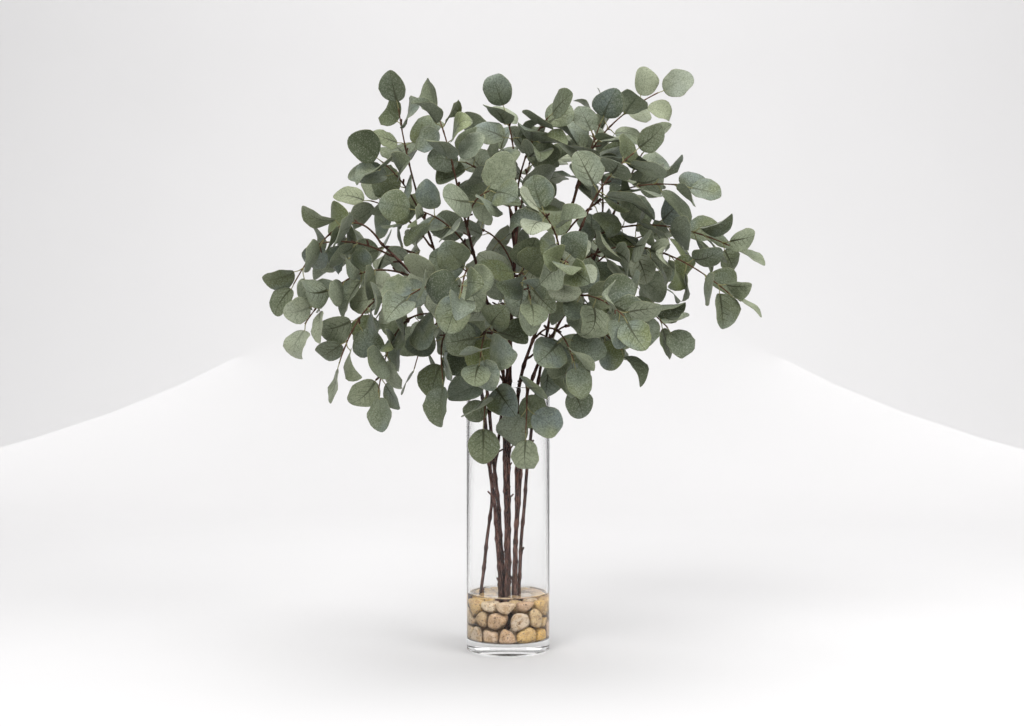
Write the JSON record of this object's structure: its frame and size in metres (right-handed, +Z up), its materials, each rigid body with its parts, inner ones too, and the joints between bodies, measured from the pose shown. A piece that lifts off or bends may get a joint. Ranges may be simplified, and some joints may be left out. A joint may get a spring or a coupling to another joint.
{
  "type": "eucalyptus branches in a glass vase",
  "caption": "Bunch of silver-dollar eucalyptus branches standing in a clear glass cylinder vase with river stones and water.",
  "frame": {"origin": "centre of the vase's flat underside", "axes": "+Z up along the vase's axis, -Y towards the front of the arrangement, +X to its right"},
  "size_m": [0.7503, 0.5793, 0.8897],
  "materials": {
    "glass": "clear, polished soda-lime glass, nearly colourless",
    "water": "clear still water, or clear resin made to look like it",
    "stone": "river pebbles in beige, gold, grey-pink and pale grey, matt, a little pitted",
    "bark": "grey-brown bark with fine lengthwise streaks, small nodes and stubs",
    "foliage": "matt grey-green leaves with a powdery bloom, paler rims and darker veins, on thin twigs"
  },
  "bodies": {
    "root": {"river_stones": "stone", "shoot_back_1": "foliage", "shoot_back_2": "foliage", "shoot_back_3": "foliage", "shoot_back_4": "foliage", "shoot_back_5": "foliage", "shoot_left_1": "foliage", "shoot_left_2": "foliage", "shoot_left_3": "foliage", "shoot_left_4": "foliage", "shoot_left_5": "foliage", "shoot_left_6": "foliage", "shoot_left_back_1": "foliage", "shoot_left_back_2": "foliage", "shoot_left_back_3": "foliage", "shoot_left_back_4": "foliage", "shoot_left_back_5": "foliage", "shoot_left_back_6": "foliage", "shoot_left_front_1": "foliage", "shoot_left_front_2": "foliage", "shoot_left_front_3": "foliage", "shoot_left_front_4": "foliage", "shoot_left_front_5": "foliage", "shoot_left_front_6": "foliage", "shoot_left_front_7": "foliage", "shoot_middle_1": "foliage", "shoot_middle_2": "foliage", "shoot_middle_3": "foliage", "shoot_middle_4": "foliage", "shoot_middle_5": "foliage", "shoot_right_1": "foliage", "shoot_right_2": "foliage", "shoot_right_3": "foliage", "shoot_right_4": "foliage", "shoot_right_5": "foliage", "shoot_right_6": "foliage", "shoot_right_7": "foliage", "shoot_right_back_1": "foliage", "shoot_right_back_2": "foliage", "shoot_right_back_3": "foliage", "shoot_right_back_4": "foliage", "shoot_right_back_5": "foliage", "shoot_right_back_6": "foliage", "shoot_right_front_1": "foliage", "shoot_right_front_2": "foliage", "shoot_right_front_3": "foliage", "shoot_right_front_4": "foliage", "shoot_right_front_5": "foliage", "shoot_right_front_6": "foliage", "shoot_right_front_7": "foliage", "stem_back": "bark", "stem_left": "bark", "stem_left_back": "bark", "stem_left_front": "bark", "stem_middle": "bark", "stem_right": "bark", "stem_right_back": "bark", "stem_right_front": "bark", "vase": "glass", "water": "water"}
  },
  "joints": []
}
